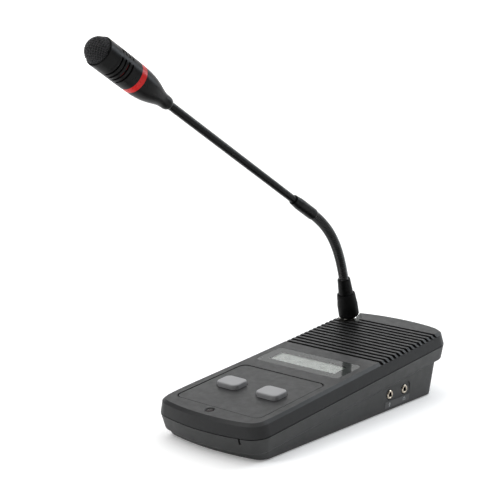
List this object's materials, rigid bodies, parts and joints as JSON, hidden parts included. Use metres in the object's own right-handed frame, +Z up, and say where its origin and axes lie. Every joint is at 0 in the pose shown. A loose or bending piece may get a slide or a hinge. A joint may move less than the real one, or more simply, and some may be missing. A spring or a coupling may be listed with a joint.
{
  "type": "gooseneck desk paging microphone",
  "caption": "Desk paging microphone: sloped console with keys, display and ribbed speaker grille, and a bending gooseneck with a lit ring behind the head.",
  "frame": {"origin": "centre of the console's flat underside, on the plane the rubber feet are stuck to", "axes": "+Z up, user sits on the -Y side, +X to the user's right (the side with the two jacks)"},
  "size_m": [0.1024, 0.3136, 0.2951],
  "materials": {
    "cover": "fine-textured satin grey moulding",
    "case": "fine-textured charcoal moulding",
    "panel": "matt grey overlay",
    "key": "satin light grey",
    "lens": "glossy tinted lens",
    "window": "glossy grey-bordered window",
    "display_metal": "black",
    "display_glass": "grey-green reflective",
    "board": "green laminate",
    "parts": "black",
    "switch": "black",
    "screw": "zinc plated",
    "ferrule": "warm nickel plate",
    "socket_black": "black moulding",
    "label": null,
    "cloth": "black acoustic cloth",
    "speaker_steel": "black",
    "cone": "black pulp cone",
    "magnet": "ferrite",
    "foot": "matt black",
    "steel": "plain",
    "nickel": "nickel plate",
    "gold": "gold plated",
    "insulator": "black",
    "collar": "matt black",
    "neck": "black satin",
    "head": "black satin",
    "lead": "black sheath",
    "ring": "bright red, translucent",
    "led": "clear",
    "mesh": "black woven wire",
    "foam": "black open foam",
    "capsule": "plain"
  },
  "bodies": {
    "console": {"top_cover": "cover", "bottom_case": "case", "control_panel": "panel", "key_board": "board", "key_switches": "switch", "status_lens": "lens", "status_led": "led", "lamp_board": "board", "display_window": "window", "display_frame": "display_metal", "display_glass": "display_glass", "display_board": "board", "speaker_cloth": "cloth", "speaker_frame": "speaker_steel", "speaker_cone": "cone", "speaker_magnet": "magnet", "main_board": "board", "board_parts": "parts", "board_screws": "screw", "jack_bodies": "socket_black", "jack_ferrules": "ferrule", "jack_label": "label", "network_socket": "socket_black", "power_socket": "socket_black", "case_screws": "screw", "rubber_feet": "foot", "rating_label": "label", "ballast_plate": "steel", "neck_socket": "nickel", "hex_nut": "nickel", "contact_insert": "insulator", "contact_pins": "gold", "neck_plug": "nickel", "neck_cone": "neck"},
    "left_key": {"call_key": "key"},
    "right_key": {"talk_key": "key"},
    "collar": {"locking_collar": "collar"},
    "flex_base": {"flex_foot": "neck"},
    "link_1": {"flex_link_1": "neck"},
    "link_2": {"flex_link_2": "neck"},
    "link_3": {"flex_link_3": "neck"},
    "link_4": {"flex_link_4": "neck"},
    "link_5": {"flex_link_5": "neck"},
    "link_6": {"flex_link_6": "neck"},
    "link_7": {"flex_link_7": "neck"},
    "link_8": {"flex_link_8": "neck"},
    "head": {"flex_top": "neck", "junction_sleeve": "neck", "rod_tube": "neck", "mic_lead": "lead", "rear_housing": "head", "light_ring": "ring", "led_board": "board", "ring_leds": "led", "barrel": "head", "front_cap": "head", "mesh_dome": "mesh", "foam_liner": "foam", "capsule": "capsule", "capsule_holder": "lead"}
  },
  "joints": [
    {"name": "left_key_press", "type": "slide", "parent": "console", "child": "left_key", "axis": [0, 0.0943, -0.9955], "range_m": [0, 0.0012], "stiffness_N_per_m": 600, "springref_m": -0.0005},
    {"name": "right_key_press", "type": "slide", "parent": "console", "child": "right_key", "axis": [0, 0.0943, -0.9955], "range_m": [0, 0.0012], "stiffness_N_per_m": 600, "springref_m": -0.0005},
    {"name": "collar_turn", "type": "hinge", "parent": "console", "child": "collar", "pos_m": [-0.0385, 0.1109, 0.0493], "axis": [0, -0.2402, 0.9707], "continuous": true},
    {"name": "neck_turn", "type": "hinge", "parent": "console", "child": "flex_base", "pos_m": [-0.0385, 0.1109, 0.0493], "axis": [0, -0.2402, 0.9707], "range_deg": [-90, 90]},
    {"name": "neck_bend_1", "type": "hinge", "parent": "flex_base", "child": "link_1", "pos_m": [-0.0385, 0.10163, 0.08677], "axis": [1, 0, 0], "range_deg": [-2.52, 2.52]},
    {"name": "neck_bend_2", "type": "hinge", "parent": "link_1", "child": "link_2", "pos_m": [-0.0385, 0.09908, 0.0954], "axis": [1, 0, 0], "range_deg": [-3.66, 3.66]},
    {"name": "neck_bend_3", "type": "hinge", "parent": "link_2", "child": "link_3", "pos_m": [-0.0385, 0.09599, 0.10386], "axis": [1, 0, 0], "range_deg": [-4.91, 4.91]},
    {"name": "neck_bend_4", "type": "hinge", "parent": "link_3", "child": "link_4", "pos_m": [-0.0385, 0.09219, 0.11201], "axis": [1, 0, 0], "range_deg": [-5.99, 5.99]},
    {"name": "neck_bend_5", "type": "hinge", "parent": "link_4", "child": "link_5", "pos_m": [-0.0385, 0.08756, 0.11973], "axis": [1, 0, 0], "range_deg": [-6.68, 6.68]},
    {"name": "neck_bend_6", "type": "hinge", "parent": "link_5", "child": "link_6", "pos_m": [-0.0385, 0.08206, 0.12685], "axis": [1, 0, 0], "range_deg": [-6.79, 6.79]},
    {"name": "neck_bend_7", "type": "hinge", "parent": "link_6", "child": "link_7", "pos_m": [-0.0385, 0.07576, 0.13328], "axis": [1, 0, 0], "range_deg": [-6.2, 6.2]},
    {"name": "neck_bend_8", "type": "hinge", "parent": "link_7", "child": "link_8", "pos_m": [-0.0385, 0.0688, 0.13899], "axis": [1, 0, 0], "range_deg": [-4.93, 4.93]},
    {"name": "neck_bend_9", "type": "hinge", "parent": "link_8", "child": "head", "pos_m": [-0.0385, 0.06138, 0.14408], "axis": [1, 0, 0], "range_deg": [-3.13, 3.13]}
  ]
}
